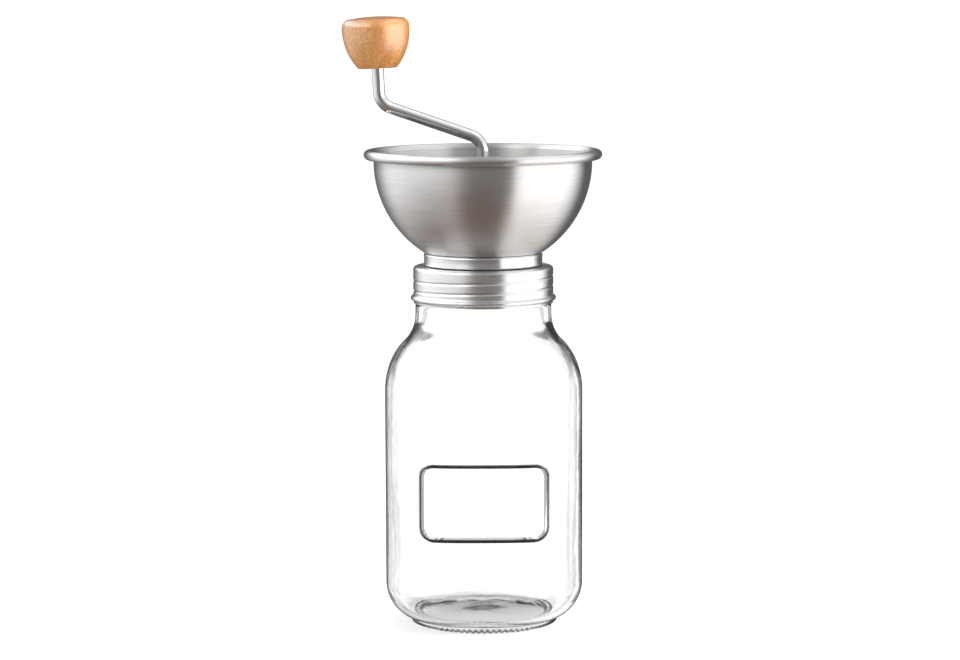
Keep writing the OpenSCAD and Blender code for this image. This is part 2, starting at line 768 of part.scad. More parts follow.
// Round rod with two flats
module flatted_rod(d, flats, h) {
    intersection() {
        cylinder(d = d, h = h);
        translate([-flats / 2, -d, 0]) cube([flats, 2 * d, h]);
    }
}

// ---------- Shaft ----------

module drive_shaft() {
    stem_top = spring_washer_z - 0.4;
    color([0.75, 0.75, 0.76]) difference() {
        union() {
            translate([0, 0, thread_foot_z]) cylinder(d = thread_d, h = stem_z - thread_foot_z + eps);
            translate([0, 0, stem_z]) flatted_rod(stem_d, stem_flats, stem_top - stem_z + eps);
            translate([0, 0, stem_top]) cylinder(d = shaft_d, h = hex_z - stem_top);
            translate([0, 0, hex_z - eps]) cylinder(d = hex_d, h = hex_h + eps, $fn = 6);
        }
        ring(shaft_d + 2, clip_groove_d, clip_z - play, clip_t + 2 * play);
    }
}

// Open retaining clip with two gripping ends
module open_clip(d, bore, h) {
    difference() {
        cylinder(d = d, h = h);
        translate([0, 0, -eps]) cylinder(d = bore, h = h + 2 * eps);
        translate([0, -bore * 0.36, -eps]) cube([d, bore * 0.72, h + 2 * eps]);
    }
}

module shaft_clip() {
    color([0.3, 0.3, 0.32]) translate([0, 0, clip_z])
        open_clip(shaft_clip_d, clip_groove_d + 2 * play, clip_t);
}

module thrust_washer() {
    color([0.8, 0.8, 0.8]) ring(bush_flange_d, bush_bore_d + 0.2, thrust_z, washer_t);
}

module spring_washer() {
    color([0.8, 0.8, 0.8]) ring(bush_flange_d, bush_bore_d + 0.2, spring_washer_z, washer_t);
}

// Compression spring from the carrier up to its washer
module burr_spring() {
    low = carrier_top_z + spring_wire / 2;
    high = spring_washer_z - spring_wire / 2;
    steps = spring_turns * spring_steps;
    rings = [
        for (k = [0:steps]) let (a = 360 * k / spring_steps, z = low + (high - low) * k / steps) [
            for (j = [0:spring_sides - 1]) let (b = 360 * j / spring_sides, r = spring_wire / 2)
                [(spring_mean_r + r * cos(b)) * cos(a), (spring_mean_r + r * cos(b)) * sin(a), z + r * sin(b)]
        ]
    ];
    last = steps * spring_sides;
    color([0.7, 0.7, 0.7]) polyhedron(
        points = [for (r = rings) each r],
        faces = concat(
            [for (f = skin(steps + 1, spring_sides)) [f[0], f[2], f[1]]],
            [[for (i = [spring_sides - 1:-1:0]) i]],
            [[for (i = [0:spring_sides - 1]) last + i]]
        )
    );
}

// Finger nut with scalloped grips
module adjusting_nut() {
    color([0.2, 0.2, 0.21]) translate([0, 0, nut_z]) difference() {
        union() {
            cylinder(d = nut_d, h = nut_h - nut_boss_h);
            translate([0, 0, nut_h - nut_boss_h]) cylinder(d = nut_d / 2, h = nut_boss_h);
        }
        translate([0, 0, -eps]) cylinder(d = thread_d + 2 * play, h = nut_h + 2 * eps);
        around(nut_grips, nut_d / 2 + nut_grip_r / 3)
            translate([0, 0, -eps]) cylinder(r = nut_grip_r, h = nut_h);
    }
}

// ---------- Crank ----------

module crank_socket() {
    color([0.76, 0.76, 0.77]) difference() {
        union() {
            translate([0, 0, socket_z]) cylinder(d = socket_d, h = socket_top - socket_z - socket_bevel);
            translate([0, 0, socket_top - socket_bevel])
                cylinder(d1 = socket_d, d2 = socket_d - 2 * socket_bevel, h = socket_bevel);
        }
        translate([0, 0, socket_z - eps])
            cylinder(d = hex_d + 2 * play / cos(30), h = shaft_top + play - socket_z + eps, $fn = 6);
        translate([0, 0, rod_foot_z]) cylinder(d = rod_d + 2 * play, h = 10);
    }
}

// A straight length of rod along +Z, closed over the bends at its ends, with the next length at its end
module straight(length) {
    translate([0, 0, -rod_lap]) cylinder(d = rod_d, h = length + 2 * rod_lap);
    translate([0, 0, length]) children();
}

// A bend of the rod from +Z towards -X, a hair thinner than the straight lengths that close over its ends
module bend(angle) {
    translate([-bend_r, 0, 0]) {
        rotate([90, 0, 0]) rotate_extrude(angle = angle) translate([bend_r, 0]) circle(d = rod_d - bend_thin);
        rotate([0, -angle, 0]) translate([bend_r, 0, 0]) children();
    }
}

// Places its children on the knob's post, with z = 0 at the knob's underside
module on_post() {
    translate([-crank_reach, 0, wrist_z]) rotate([0, -post_lean, 0]) translate([0, 0, knob_lift]) children();
}

module crank_arm() {
    upright = elbow_z - elbow_cut - rod_foot_z - rod_lap;
    slope = arm_length - elbow_cut - wrist_cut;
    post = knob_lift - wrist_cut + post_in_knob;
    color([0.82, 0.82, 0.83]) difference() {
        translate([0, 0, rod_foot_z + rod_lap])
            straight(upright) bend(arm_angle) straight(slope)
            mirror([1, 0, 0]) bend(arm_angle - post_lean) straight(post);
        on_post() ring(rod_d + 2, post_groove_d, knob_clip_z - play, clip_t + 2 * play);
    }
}

// ---------- Knob ----------

// Turned wood: narrow flat foot, full side, soft upper edge, and a blind bore from below
module knob() {
    r = knob_d / 2;
    edge_z = knob_h - knob_crown - knob_edge_r;
    color([0.82, 0.6, 0.36]) on_post() difference() {
        revolve(concat(
            [[0, 0]],
            arc(r - knob_side_r, knob_waist_h, knob_side_r, -asin(knob_waist_h / knob_side_r), 0, 10),
            arc(knob_top_r, edge_z, knob_edge_r, 0, 90 - asin(knob_top_r / knob_crown_r), 6),
            arc(0, knob_h - knob_crown_r, knob_crown_r, 90 - asin(knob_top_r / knob_crown_r) + 1, 89.5, 4),
            [[0, knob_h]]
        ));
        translate([0, 0, -eps]) cylinder(d = knob_bore_d, h = knob_bore_h + eps);
        translate([0, 0, -eps]) cylinder(d = knob_flange_d, h = bush_flange_h + 2 * eps);
    }
}

module knob_bush() {
    color([0.9, 0.88, 0.84]) on_post() difference() {
        union() {
            translate([0, 0, fit]) cylinder(d = knob_flange_d - 2 * fit, h = bush_flange_h - fit);
            translate([0, 0, fit]) cylinder(d = knob_bore_d - 2 * play, h = knob_bush_top - fit);
        }
        translate([0, 0, -eps]) cylinder(d = rod_d + 2 * play, h = knob_bush_top + 1);
    }
}

module knob_clip() {
    color([0.3, 0.3, 0.32]) on_post() translate([0, 0, knob_clip_z])
        open_clip(knob_bore_d - 1, post_groove_d + 2 * play, clip_t);
}

jar();
lid_gasket();
screw_lid();
collar_seal();
collar_ring();
hopper_bowl();
burr_housing();
bearing_spider();
upper_bush();
lower_bush();
clamp_screws();
outer_burr();
retaining_ring();
ring_screws();
inner_burr();
burr_carrier();
burr_spring();
spring_washer();
drive_shaft();
shaft_clip();
thrust_washer();
adjusting_nut();
crank_socket();
crank_arm();
knob();
knob_bush();
knob_clip();
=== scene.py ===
"""Looks of a hand crank coffee grinder: a steel grinder head screwed onto a clear glass jar."""

import math

import bpy
import numpy as np
from mathutils import Matrix


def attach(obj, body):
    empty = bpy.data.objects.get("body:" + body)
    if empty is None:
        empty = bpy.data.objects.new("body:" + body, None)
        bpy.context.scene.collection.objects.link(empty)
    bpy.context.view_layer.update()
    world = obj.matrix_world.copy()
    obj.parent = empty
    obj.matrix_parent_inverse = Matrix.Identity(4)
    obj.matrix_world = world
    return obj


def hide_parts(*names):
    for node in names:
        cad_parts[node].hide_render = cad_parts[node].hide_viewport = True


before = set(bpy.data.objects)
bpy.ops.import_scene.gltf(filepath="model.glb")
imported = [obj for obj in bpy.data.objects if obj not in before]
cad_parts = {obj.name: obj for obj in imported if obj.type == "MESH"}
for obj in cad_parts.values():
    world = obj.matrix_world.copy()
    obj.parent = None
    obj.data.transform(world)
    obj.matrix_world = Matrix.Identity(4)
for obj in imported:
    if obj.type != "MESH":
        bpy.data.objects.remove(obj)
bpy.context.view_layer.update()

# ---- Jar -----------------------------------------------------------------------------------------
# A square-shouldered preserve jar of clear soda-lime glass, about 3 mm thick. It is blown in a
# mould that also forms the frame round its bare label place, the thread of its round neck and the
# ribbed ring it stands on.

MM = 0.001
# The side's arcs: half width and height of their middles, and their radii.
HEEL_A, HEEL_Z, HEEL_R = 30.3, 22.5, 20.0
SHOULDER_A, SHOULDER_Z, SHOULDER_R, SHOULDER_TURN = 16.3, 120.634, 34.0, 44.6746
NECK_A, NECK_Z, NECK_R = 54.7, 158.6, 20.0
BODY_A = SHOULDER_A + SHOULDER_R
# The thickness of the wall, what the low wall and the heel have more, and that of the neck. Below
# the shoulder the inside lies a little off the middle, as a blown jar's does.
GLASS, LOW_GLASS, HEEL_GLASS, NECK_GLASS = 2.1, 0.8, 0.6, 3.5
THICKER_FROM_Z, THICKER_FULL_Z = 80, 30
INSIDE_SHIFT, SHIFT_FROM_Z, SHIFT_FULL_Z = -0.45, 150, 125
UNDERSIDE = np.array([
    [0.6, 5.5], [12, 5.1], [22, 4.1], [29, 2.9], [31, 2.55], [33.6, 2.5], [33.9, 2.3], [34.1, 0.7],
    [34.5, 0.15], [35.2, 0], [36.4, 0], [37.1, 0.15], [37.4, 0.7], [37.4, 1.4], [37.3, 2.1]])
FLOOR = np.array([[31, 5.4], [27, 5.75], [22, 6.45], [14, 7.6], [7, 8.25], [0.6, 8.45]])
FOOT_R, FOOT_Z, FOOT_SQUARENESS, FOOT_RIBS, RIB_DEEP = 37.5, 2.5, 2.71, 78, 0.85
# The rows of the notch over the foot: how far under the heel, and how deep.
NOTCH_DROP, NOTCH_DEEP = np.array([[0.6], [0.3], [0.1]]), 0.55 * np.array([[0.7], [1.0], [0.5]])
# The rows of the underside that are ribbed, and how far each is cut inwards and upwards.
RIBBED_ROWS = slice(8, 14)
RIB_BITES, RIB_LIFTS = [[0.3], [0.8], [1], [1], [0.8], [0.2]], [[1], [1], [1], [0.6], [0], [0]]
BEAD_A, BEAD = 34.7, [[34.3, 164.3], [33.9, 164.6]]
MOUTH_R, JAR_TOP, LIP_R, THREAD_ROOT_R, THREAD_FOOT_Z = 31.0, 180.6, 0.9, 33.7, 165.0
PITCH, THREAD_Z, THREAD_HIGH, THREAD_HALF = 5.08, 176.7, 1.05, 1.7
THREAD_START, THREAD_END = (-1.2, -1.08), (0.26, 0.4)
LABEL_HALF_W, LABEL_HALF_H, LABEL_Z, LABEL_CORNER = 31.4, 18.8, 69.1, 6.4
RIDGE_HALF, RIDGE_SLOPE, CREST_HALF, CREST_END = 1.5, 0.85, 0.4, 0.7
# Distances from the ridge at which the grid has rows and columns.
RIDGE_STEPS = np.array([0.04, 0.2, 0.4, 0.65, 0.95, 1.25, 1.46, 1.54, 1.6])
RIDGE_STEPS = np.concatenate([-RIDGE_STEPS[::-1], [0], RIDGE_STEPS])
# Painted shade: the near-black glass colours for where it is seen edge-on and for the frame's
# crest.
EDGE_PAINTED_SHADE, CREST_PAINTED_SHADE = (0.02, 0.024, 0.023), (0.012, 0.014, 0.014)


def arc(cx, cz, r, start, end, steps):
    """Points (x, z) on a circle round (cx, cz), from a start angle to an end angle in degrees."""
    a = np.radians(np.linspace(start, end, steps))
    return np.stack([cx + r * np.cos(a), cz + r * np.sin(a)], 1)


def straight(x0, z0, x1, z1, steps):
    """Evenly spaced points (x, z) from one end of a line to the other, without the first."""
    t = np.linspace(0, 1, steps + 1)[1:, None]
    return np.array([[x0, z0]]) * (1 - t) + np.array([[x1, z1]]) * t


def smooth_step(low, high, x):
    """0 at low, 1 at high, held beyond them, with the soft S of 3t^2 - 2t^3 between."""
    t = np.clip((x - low) / (high - low), 0, 1)
    return t * t * (3 - 2 * t)


def squareness(a, z):
    """Exponent n of a level's outline |x|^n + |y|^n = a^n.

    It is 2, a circle, at the neck, grows to 3.1 with the half width a, and falls from the top of
    the heel to 2.7 at the foot.
    """
    heel = 2.7 + 0.4 * np.clip((z - FOOT_Z) / (HEEL_Z - FOOT_Z), 0, 1)
    return np.where(z < HEEL_Z, heel, 2 + 1.1 * np.clip((a - BEAD_A) / (BODY_A - BEAD_A), 0, 1))


def radius_at(a, n, turn):
    """Distance from the axis of the outline |x|^n + |y|^n = a^n in the direction turn."""
    return a / (np.abs(np.cos(turn)) ** n + np.abs(np.sin(turn)) ** n) ** (1 / n)


def jar_directions():
    """Directions of the grid's columns round the axis, from the middle of the front.

    They are a third of a rib apart, closer across the label place, and closest at the two upright
    lines of its frame, where a step is 1.9 mm long and one column lies exactly on the ridge.
    """
    step, step_mm = 2 * math.pi / (3 * FOOT_RIBS), 1.9
    places = np.linspace(0, 26, 2601)
    outline = radius_at(BODY_A, squareness(BODY_A, LABEL_Z), step * places - math.pi / 2)
    ridge = np.interp(LABEL_HALF_W, outline * np.sin(step * places), places)
    right = np.concatenate([np.arange(0, 18, 0.5), np.arange(18, ridge - 0.9, 0.125),
                            ridge + RIDGE_STEPS / step_mm, np.arange(ridge + 0.9, 25.3, 0.3)])
    rest = np.arange(26, 3 * FOOT_RIBS - 25)
    return -math.pi / 2 + step * np.concatenate([-right[:0:-1], right, rest])


def wall_profile():
    """The body's upright wall, with rows exactly on the ridge of the frame's two level lines."""
    low, high = LABEL_Z - LABEL_HALF_H, LABEL_Z + LABEL_HALF_H
    z = np.concatenate([
        np.linspace(HEEL_Z, low - 1.9, 7)[1:], low + RIDGE_STEPS,
        np.linspace(low + 1.9, low + 6.5, 12), np.linspace(low + 7, high - 7, 9),
        np.linspace(high - 6.5, high - 1.9, 12), high + RIDGE_STEPS,
        np.linspace(high + 1.9, SHOULDER_Z, 9)])
    return np.stack([np.full(len(z), BODY_A), z], 1)


def round_rows(profile, turn):
    """Radius and height, row by row, of circles."""
    return [np.repeat(profile[:, k:k + 1], len(turn), 1) for k in (0, 1)]


def square_rows(profile, turn, glass=0.0):
    """Radius and height, row by row, of squarish outlines: the profile's x is their half width.

    They have the squareness of the outside, which is one thickness of glass further out.
    """
    a, z = profile[:, :1], profile[:, 1:]
    return radius_at(a, squareness(a + glass, z), turn), np.broadcast_to(z, (len(z), len(turn)))


def jar_outside(turn):
    """Rows of the outside by name, from the middle of the underside up to the lip's inner edge.

    The heel's arc starts where each direction's outline meets the round foot.
    """
    join_a = FOOT_R / radius_at(1.0, FOOT_SQUARENESS, turn)
    join = -np.arccos(np.clip((join_a - HEEL_A) / HEEL_R, -1, 1))
    bend = join[None] * (1 - np.linspace(0, 1, 15)[:, None])
    heel_a, heel_z = HEEL_A + HEEL_R * np.cos(bend), HEEL_Z + HEEL_R * np.sin(bend)
    notch_z = heel_z[:1] - NOTCH_DROP
    notch_r = FOOT_R - NOTCH_DEEP * np.ones_like(notch_z)
    shoulder = arc(SHOULDER_A, SHOULDER_Z, SHOULDER_R, 0, SHOULDER_TURN, 13)[1:]
    neck = arc(NECK_A, NECK_Z, NECK_R, 180 + SHOULDER_TURN, 180, 13)[1:]
    bead = np.vstack([straight(BEAD_A, NECK_Z, BEAD_A - 0.1, 163.9, 4), BEAD])
    lip_z = JAR_TOP - LIP_R
    thread = np.stack([np.full(27, THREAD_ROOT_R), np.linspace(THREAD_FOOT_Z, lip_z, 27)], 1)
    lip = np.vstack([arc(THREAD_ROOT_R - LIP_R, lip_z, LIP_R, 0, 90, 6)[1:],
                     arc(MOUTH_R + LIP_R, lip_z, LIP_R, 90, 180, 6)])
    return {
        "underside": round_rows(UNDERSIDE, turn), "notch": (notch_r, notch_z),
        "heel": (radius_at(heel_a, squareness(heel_a, heel_z), turn), heel_z),
        "wall": square_rows(wall_profile(), turn), "shoulder": square_rows(shoulder, turn),
        "neck": square_rows(neck, turn), "bead": round_rows(bead, turn),
        "thread": round_rows(thread, turn), "lip": round_rows(lip, turn)}


def jar_inside(turn):
    """Rows of the inside by name, from the lip down to the middle of the floor.

    By a soft S each time, the glass thins from the neck to the shoulder, thickens again down the
    lower wall and thins a little round the heel.
    """
    bore = straight(MOUTH_R, JAR_TOP - LIP_R, NECK_A - NECK_R - NECK_GLASS, NECK_Z, 8)
    bend = np.linspace(180, 180 + SHOULDER_TURN, 14)[1:]
    thinning = (GLASS - NECK_GLASS) * smooth_step(180, 180 + SHOULDER_TURN, bend)
    neck_r, bend = NECK_R + NECK_GLASS + thinning, np.radians(bend)
    neck = np.stack([NECK_A + neck_r * np.cos(bend), NECK_Z + neck_r * np.sin(bend)], 1)
    shoulder = arc(SHOULDER_A, SHOULDER_Z, SHOULDER_R - GLASS, SHOULDER_TURN, 0, 13)[1:]
    wall_z = np.concatenate([np.linspace(SHOULDER_Z, THICKER_FROM_Z, 4)[1:],
                             np.linspace(THICKER_FROM_Z, HEEL_Z, 13)[1:]])
    thicker = LOW_GLASS * smooth_step(THICKER_FROM_Z, THICKER_FULL_Z, wall_z)
    wall = np.stack([BODY_A - GLASS - thicker, wall_z], 1)
    bend = np.linspace(0, -80, 16)[1:]
    thinning = (LOW_GLASS - HEEL_GLASS) * smooth_step(10, 75, -bend)
    heel_r, bend = HEEL_R - GLASS - LOW_GLASS + thinning, np.radians(bend)
    heel = np.stack([HEEL_A + heel_r * np.cos(bend), HEEL_Z + heel_r * np.sin(bend)], 1)
    levels = {"inner neck": neck, "inner shoulder": shoulder, "inner wall": wall,
              "inner heel": heel, "floor": FLOOR}
    squarish = {name: square_rows(profile, turn, GLASS) for name, profile in levels.items()}
    return {"bore": round_rows(bore, turn), **squarish}


def frame_distance(x, z):
    """Distance from the label frame's line, a rectangle with round corners: negative inside."""
    side = np.abs(x) - (LABEL_HALF_W - LABEL_CORNER)
    rise = np.abs(z - LABEL_Z) - (LABEL_HALF_H - LABEL_CORNER)
    beyond = np.hypot(np.maximum(side, 0), np.maximum(rise, 0))
    return beyond + np.minimum(np.maximum(side, rise), 0) - LABEL_CORNER


def helix_bump(turn, z, start_z, half, fade_in, fade_out):
    """0 to 1 across a right-hand helix, (1 - (rise / half)^2)^2, fading at both ends, in laps."""
    around = ((np.degrees(turn) - 180) % 360) / 360
    lap = np.round((z - start_z) / PITCH - around) + around
    rise = z - (start_z + PITCH * lap)
    ends = smooth_step(*fade_in, lap) * (1 - smooth_step(*fade_out, lap))
    return np.clip(1 - (rise / half) ** 2, 0, 1) ** 2 * ends


def jar_points():
    """The jar's whole skin as one grid, and its mask of the frame's crest, 1 on it and 0 elsewhere.

    Each column is the profile at one direction round the axis, from the middle of the underside up
    the outside, over the lip and down the inside to the middle of the floor. Bites by a squared
    cosine leave the foot's ribs, a roof with a sharp ridge makes the label frame, and a bump across
    a helix the thread.
    """
    turn = jar_directions()
    parts = {**jar_outside(turn), **jar_inside(turn)}
    radius, z = (np.vstack([part[k] for part in parts.values()]) for k in (0, 1))
    starts = np.cumsum([0] + [len(part[0]) for part in parts.values()])
    rows = {name: slice(*pair) for name, pair in zip(parts, zip(starts, starts[1:]))}

    rib = 0.5 - 0.5 * np.cos(FOOT_RIBS * (turn + math.pi / 2))
    bite = np.array(RIB_BITES) * rib ** 2
    radius[RIBBED_ROWS] -= RIB_DEEP * bite
    z[RIBBED_ROWS] += RIB_DEEP * bite * np.array(RIB_LIFTS)

    wall, thread = rows["wall"], rows["thread"]
    front = np.sin(turn) < 0
    away = np.abs(frame_distance(radius[wall] * np.cos(turn), z[wall]))
    # The crest mask marks where the glass's colour is painted dark, as painted shade.
    crest = np.zeros_like(radius)
    crest[wall] = np.where(front, 1 - smooth_step(CREST_HALF, CREST_END, away), 0)
    radius[wall] += np.where(front, np.maximum(RIDGE_SLOPE * (RIDGE_HALF - away), 0), 0)
    radius[thread] += THREAD_HIGH * helix_bump(
        turn, z[thread], THREAD_Z, THREAD_HALF, THREAD_START, THREAD_END)

    inside = (np.arange(len(z)) >= rows["inner neck"].start)[:, None]
    shift = INSIDE_SHIFT * (inside * smooth_step(SHIFT_FROM_Z, SHIFT_FULL_Z, z))
    return np.stack([radius * np.cos(turn) + shift, radius * np.sin(turn), z], -1), crest


def grid_piece(name, points, finish, ring_rows=False, poles=(False, False), crease=35):
    """A mesh piece from a grid of points in millimetres, shaped (rows, columns, 3).

    Each cell of the grid is one face. The last column joins the first, the last row joins the first
    where ring_rows, and a pole closes the first or last row onto its middle point. Faces point
    outwards: they are turned round where the enclosed volume comes out below zero.
    """
    rows, columns = points.shape[:2]
    index = np.arange(rows * columns).reshape(rows, columns)
    below = index if ring_rows else index[:-1]
    above = np.roll(index, -1, 0) if ring_rows else index[1:]
    cells = np.stack([below, np.roll(below, -1, 1), np.roll(above, -1, 1), above], -1)
    vertices = points.reshape(-1, 3)
    faces = cells.reshape(-1, 4).tolist()
    for closed, row in zip(poles, (index[0, ::-1], index[-1])):
        if closed:
            pole = len(vertices)
            vertices = np.vstack([vertices, vertices[row].mean(0)])
            faces += np.stack([row, np.roll(row, -1), np.full(columns, pole)], -1).tolist()
    triangles = np.array([f[:3] for f in faces] + [[f[0], *f[2:]] for f in faces if len(f) == 4])
    a, b, c = (vertices[triangles[:, k]] for k in range(3))
    if np.einsum("ij,ij->i", a, np.cross(b, c)).sum() < 0:
        faces = [f[::-1] for f in faces]
    mesh = bpy.data.meshes.new(name)
    mesh.from_pydata((vertices * MM).tolist(), [], faces)
    mesh.polygons.foreach_set("use_smooth", np.ones(len(faces), bool))
    if crease:
        mesh.set_sharp_from_angle(angle=math.radians(crease))
    mesh.materials.append(finish.material)
    piece = bpy.data.objects.new(name, mesh)
    bpy.context.scene.collection.objects.link(piece)
    return piece


class Num:
    """A number on a node's socket: Python's + - * / and ** on it add Math nodes to its material."""

    def __init__(self, finish, node, out):
        self.finish, self.node = finish, node
        self.socket = node.outputs[out] if node.outputs else None

    def out(self, name):
        """Another output of the same node."""
        return Num(self.finish, self.node, name)

    def math(self, operation, *values):
        """One Math node with these values on its sockets."""
        return self.finish.node("ShaderNodeMath", {"operation": operation}, dict(enumerate(values)))

    def __add__(self, other):
        return self.math("ADD", self, other)

    def __mul__(self, other):
        return self.math("MULTIPLY", self, other)

    def __sub__(self, other):
        return self.math("SUBTRACT", self, other)

    def __rsub__(self, other):
        return self.math("SUBTRACT", other, self)

    def __truediv__(self, other):
        return self.math("DIVIDE", self, other)

    def __pow__(self, other):
        return self.math("POWER", self, other)

    __radd__, __rmul__ = __add__, __mul__

    def ramp(self, low, high, to_low=0.0, to_high=1.0):
        """This number carried smoothly from low..high onto to_low..to_high, held at the ends."""
        return self.finish.node("ShaderNodeMapRange", {"interpolation_type": "SMOOTHSTEP"},
                                {0: self, 1: low, 2: high, 3: to_low, 4: to_high})


class Finish:
    """A procedural material (or the world), built one node at a time."""

    def __init__(self, name, owner=None):
        self.material = owner or bpy.data.materials.new(name)
        self.material.use_nodes = True
        self.tree = self.material.node_tree
        self.tree.nodes.clear()

    def node(self, kind, settings=None, sockets=None, out=0):
        """Adds a node: its settings first, then a value or a link on each socket."""
        made = self.tree.nodes.new(kind)
        for key, value in (settings or {}).items():
            if key == "stops":
                ramp = made.color_ramp
                for place, _ in value[1:-1]:
                    ramp.elements.new(place)
                for element, (place, colour) in zip(ramp.elements, value):
                    element.position, element.color = place, (*colour, 1)
            else:
                setattr(made, key, value)
        for key, value in (sockets or {}).items():
            if isinstance(value, Num):
                self.tree.links.new(value.socket, made.inputs[key])
            else:
                made.inputs[key].default_value = value
        return Num(self, made, out)

    def place(self, shift=(0, 0, 0), turn=(0, 0, 0), scale=(1, 1, 1)):
        """Object coordinates in metres, taken from a new middle and axis, then scaled."""
        here = self.node("ShaderNodeTexCoord").out("Object")
        here = self.node("ShaderNodeMapping", {"vector_type": "TEXTURE"},
                         {0: here, 1: shift, 2: turn})
        return self.node("ShaderNodeMapping", {"vector_type": "POINT"}, {0: here, 3: scale})

    def noise(self, where, size, detail=3, rough=0.55):
        """Soft noise about 0.5, with grains of about 1 / size metres."""
        sockets = {"Vector": where, "Scale": size, "Detail": detail, "Roughness": rough}
        return self.node("ShaderNodeTexNoise", {}, sockets)

    def mix(self, share, *colours, how="MIX"):
        """One colour over another by a share; a colour is a node, a grey or red, green and blue."""
        a, b = (c if isinstance(c, Num) else (*np.broadcast_to(c, 3).tolist(), 1) for c in colours)
        return self.node("ShaderNodeMix", {"data_type": "RGBA", "blend_type": how},
                         {0: share, 6: a, 7: b}, 2)

    def seen_edge_on(self, low, high):
        """0 where the surface faces the eye, 1 where it is seen edge-on."""
        return self.node("ShaderNodeLayerWeight", {}, {"Blend": 0.5}, "Facing").ramp(low, high)

    def bump(self, height, depth):
        """A surface raised by height (0 to 1) times depth, in metres."""
        return self.node("ShaderNodeBump", {}, {"Height": height, "Distance": depth})

    def surface(self, **sockets):
        """Ends the material in a Principled shader; in a socket's name an underscore is a space."""
        sockets = {name.replace("_", " "): value for name, value in sockets.items()}
        shader = self.node("ShaderNodeBsdfPrincipled", {}, sockets)
        self.node("ShaderNodeOutputMaterial", {}, {"Surface": shader})
        return self


def clear_glass():
    """Clear glass with the faint unevenness that the mould leaves.

    Its colour is painted dark where it is seen edge-on and along the crest of the label frame:
    painted shade for the places where thick glass bends the light away.
    """
    glass = Finish("jar_glass")
    waves = glass.noise(glass.place(scale=(1, 1, 0.45)), 34, 2)
    ripple = glass.noise(glass.place(), 160, 2)
    crest = glass.node("ShaderNodeAttribute", {"attribute_name": "crest"}, {}, "Fac")
    colour = glass.mix(waves, (0.975, 0.99, 0.985), (0.99, 0.995, 0.995))
    # Painted shade: the colour turns near-black where the glass is seen edge-on.
    colour = glass.mix(glass.seen_edge_on(0.72, 0.93), colour, EDGE_PAINTED_SHADE)
    # Painted shade: the colour turns near-black on the frame's crest.
    return glass.surface(
        Base_Color=glass.mix(crest, colour, CREST_PAINTED_SHADE), Transmission_Weight=1.0, IOR=1.51,
        Roughness=ripple.ramp(0.3, 0.7, 0.0, 0.012),
        Normal=glass.bump(waves + 0.1 * ripple, 0.0004))


jar_skin, jar_crest = jar_points()
glass_jar = grid_piece("glass_jar", jar_skin, clear_glass(), poles=(True, True), crease=0)
crest_of = glass_jar.data.attributes.new("crest", "FLOAT", "POINT")
crest_of.data.foreach_set("value", np.append(jar_crest.ravel(), [0.0, 0.0]).astype(np.float32))
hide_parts("jar")
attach(glass_jar, "jar")

# ---- Gasket --------------------------------------------------------------------------------------
# A flat ring of red-brown silicone that lies loose on the jar's lip inside the lid. It is cut from
# sheet, so its faces are dull and slightly dusty.


def dress(names, finish):
    """Gives every material slot of these CAD nodes the finish."""
    for name in names.split():
        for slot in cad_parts[name].material_slots:
            slot.material = finish.material


def soft_rubber(name, colour, dusty):
    """Matt rubber: an even colour with dust in its fine pores."""
    rubber = Finish(name)
    pores = rubber.noise(rubber.place(), 1800, 4)
    cloud = rubber.noise(rubber.place(), 90, 3)
    return rubber.surface(
        Base_Color=rubber.mix(cloud.ramp(0.4, 0.75) * 0.5, colour, dusty),
        Roughness=cloud.ramp(0.3, 0.7, 0.55, 0.75), Normal=rubber.bump(pores, 0.00008))


dress("lid_gasket", soft_rubber("gasket_silicone", (0.23, 0.055, 0.03), (0.32, 0.12, 0.08)))

# ---- Screw lid -----------------------------------------------------------------------------------
# A ring lid of half a millimetre stainless sheet, drawn to a cup, its thread rolled into the wall
# from outside and its lower edge curled. The wall keeps the fine turning lines of the roll.

LID_R, LID_TOP, LID_WALL_FOOT, LID_SHEET = 35.45, 182.75, 168.9, 0.5
LID_HOLE_R, LID_EDGE_R = 26.6, 1.25
LID_CURL = [
    [35.48, 168.6], [35.6, 168.25], [35.86, 167.95], [36.25, 167.72], [36.6, 167.5], [36.78, 167.2],
    [36.82, 166.9], [36.74, 166.55], [36.5, 166.25], [36.1, 166.0], [35.6, 165.8], [35.35, 165.4],
    [35.3, 164.45]]
GROOVE_Z, GROOVE_DEEP, GROOVE_HALF = 175.6, 0.42, 0.85
GROOVE_START, GROOVE_END = (-1.3, -1.12), (0.5, 0.68)


def sheet_loop(path, thick):
    """A bent sheet's outline: its middle line moved half the thickness each way, as one loop."""
    along = np.gradient(path, axis=0)
    along /= np.linalg.norm(along, axis=1)[:, None]
    side = np.stack([along[:, 1], -along[:, 0]], 1) * thick / 2
    return np.vstack([path + side, (path - side)[::-1]])


def turned(profile, columns, swell=None):
    """A profile of (radius, height) points carried round the Z axis.

    swell gives what is added to the radius at each turn and height.
    """
    turn = np.linspace(0, 2 * math.pi, columns, endpoint=False)[None]
    radius, z = (np.repeat(profile[:, k:k + 1], columns, 1) for k in (0, 1))
    if swell is not None:
        radius = radius + swell(turn, z)
    return np.stack([radius * np.cos(turn), radius * np.sin(turn), z], -1)


def rolled_thread(turn, z):
    """The lid's thread: a rounded groove on a right-hand helix, dying out at both ends."""
    return -GROOVE_DEEP * helix_bump(turn, z, GROOVE_Z, GROOVE_HALF, GROOVE_START, GROOVE_END)


